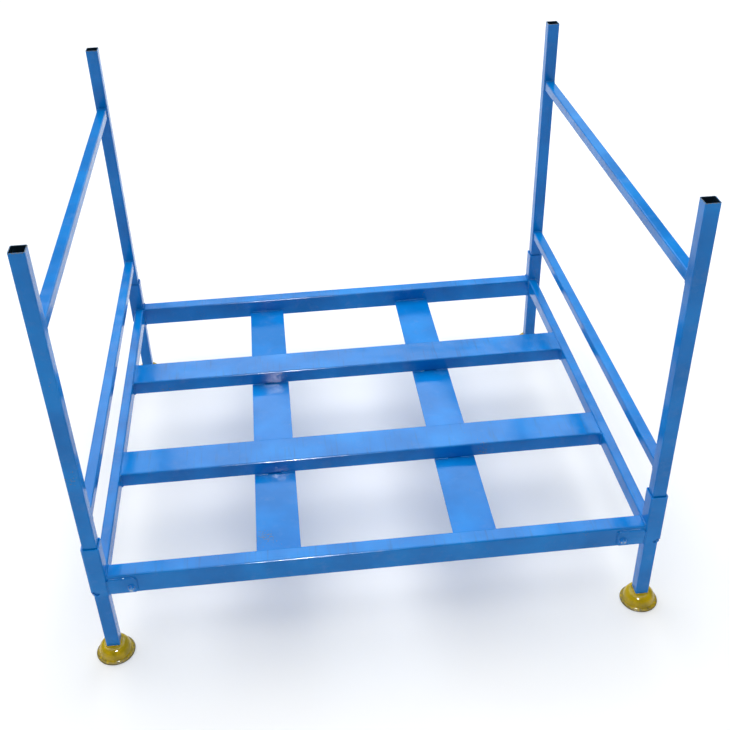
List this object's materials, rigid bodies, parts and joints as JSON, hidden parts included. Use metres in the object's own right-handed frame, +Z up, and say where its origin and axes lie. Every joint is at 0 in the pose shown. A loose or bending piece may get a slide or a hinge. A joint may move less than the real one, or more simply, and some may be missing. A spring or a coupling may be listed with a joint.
{
  "type": "tyre storage rack",
  "caption": "Stackable welded steel tyre rack: a railed base on legs with bell feet, and an end frame at each end whose posts drop into corner sockets.",
  "frame": {"origin": "middle of the floor area under the rack, at floor level", "axes": "+X along the rack from the left end frame to the right one, +Y from front to rear, +Z up"},
  "size_m": [1.724, 1.574, 1.36],
  "materials": {
    "rack_paint": "gloss blue enamel on steel tube, thin at the cut edges",
    "foot_paint": "gloss yellow enamel on pressed steel, scuffed at the rim",
    "bolt_zinc": "zinc plated bolts painted over with the rack"
  },
  "bodies": {
    "base": {"front_rail": "rack_paint", "rear_rail": "rack_paint", "front_cradle_rail": "rack_paint", "rear_cradle_rail": "rack_paint", "left_side_rail": "rack_paint", "right_side_rail": "rack_paint", "left_cross_plate": "rack_paint", "right_cross_plate": "rack_paint", "front_left_socket": "rack_paint", "front_right_socket": "rack_paint", "rear_left_socket": "rack_paint", "rear_right_socket": "rack_paint", "front_left_leg": "rack_paint", "front_right_leg": "rack_paint", "rear_left_leg": "rack_paint", "rear_right_leg": "rack_paint", "front_left_foot": "foot_paint", "front_right_foot": "foot_paint", "rear_left_foot": "foot_paint", "rear_right_foot": "foot_paint", "front_left_corner_plate": "rack_paint", "front_right_corner_plate": "rack_paint", "rear_left_corner_plate": "rack_paint", "rear_right_corner_plate": "rack_paint", "corner_bolts": "bolt_zinc"},
    "left_end_frame": {"left_front_post": "rack_paint", "left_rear_post": "rack_paint", "left_upper_bar": "rack_paint", "left_lower_bar": "rack_paint"},
    "right_end_frame": {"right_front_post": "rack_paint", "right_rear_post": "rack_paint", "right_upper_bar": "rack_paint", "right_lower_bar": "rack_paint"}
  },
  "joints": [
    {"name": "left_frame_lift", "type": "slide", "parent": "base", "child": "left_end_frame", "axis": [0, 0, 1], "range_m": [0, 0.13]},
    {"name": "right_frame_lift", "type": "slide", "parent": "base", "child": "right_end_frame", "axis": [0, 0, 1], "range_m": [0, 0.13]}
  ]
}
